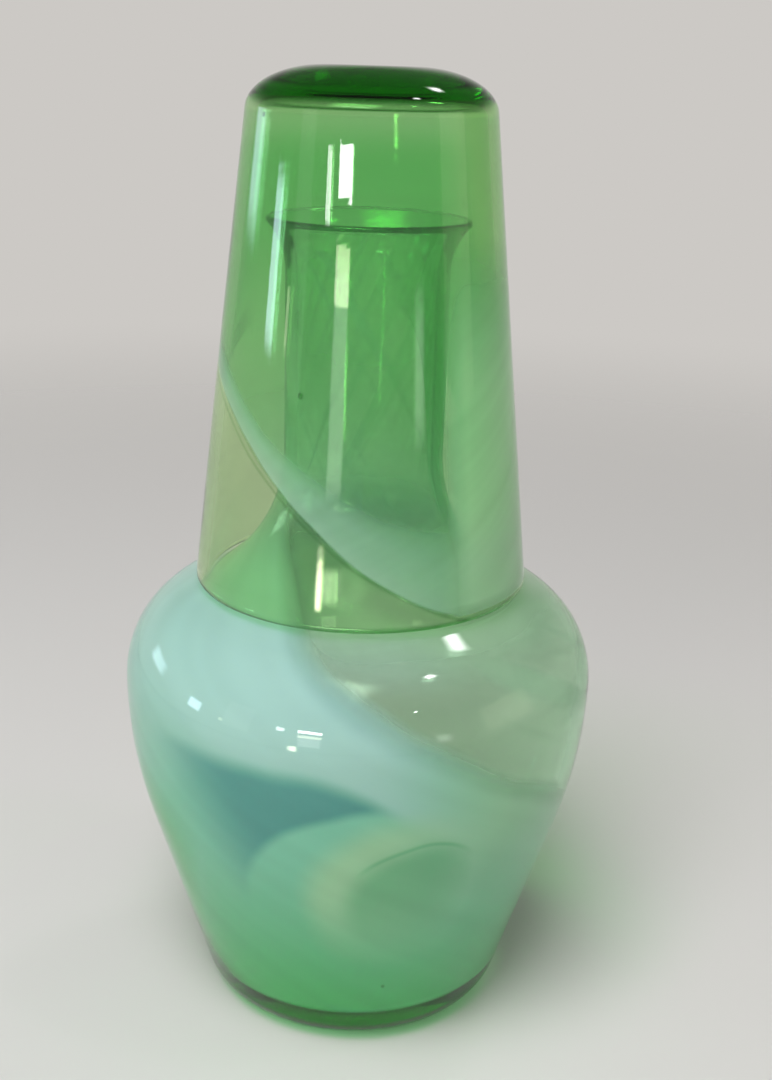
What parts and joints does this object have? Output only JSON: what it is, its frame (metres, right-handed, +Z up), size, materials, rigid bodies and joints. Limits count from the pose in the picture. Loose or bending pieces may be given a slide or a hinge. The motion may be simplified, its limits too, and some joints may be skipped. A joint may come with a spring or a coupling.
{
  "type": "bedside carafe with tumbler",
  "caption": "Round-shouldered glass water carafe with a slim flared neck, and a tapered tumbler that stands upside down over the neck as its lid.",
  "frame": {"origin": "middle of the carafe's flat foot, on the surface it stands on", "axes": "+Z up along the axis of both vessels; -Y is the side that was looked at"},
  "size_m": [0.102, 0.102, 0.2016],
  "materials": {
    "green_glass": "clear gloss",
    "opal_glass": "milky gloss"
  },
  "bodies": {
    "carafe": {"carafe_glass": "green_glass", "carafe_opal_swirl": "opal_glass"},
    "tumbler": {"tumbler_glass": "green_glass", "tumbler_opal_swirl": "opal_glass"}
  },
  "joints": [
    {"name": "tumbler_lift", "type": "slide", "parent": "carafe", "child": "tumbler", "axis": [0, 0, 1], "range_m": [0, 0.09]}
  ]
}
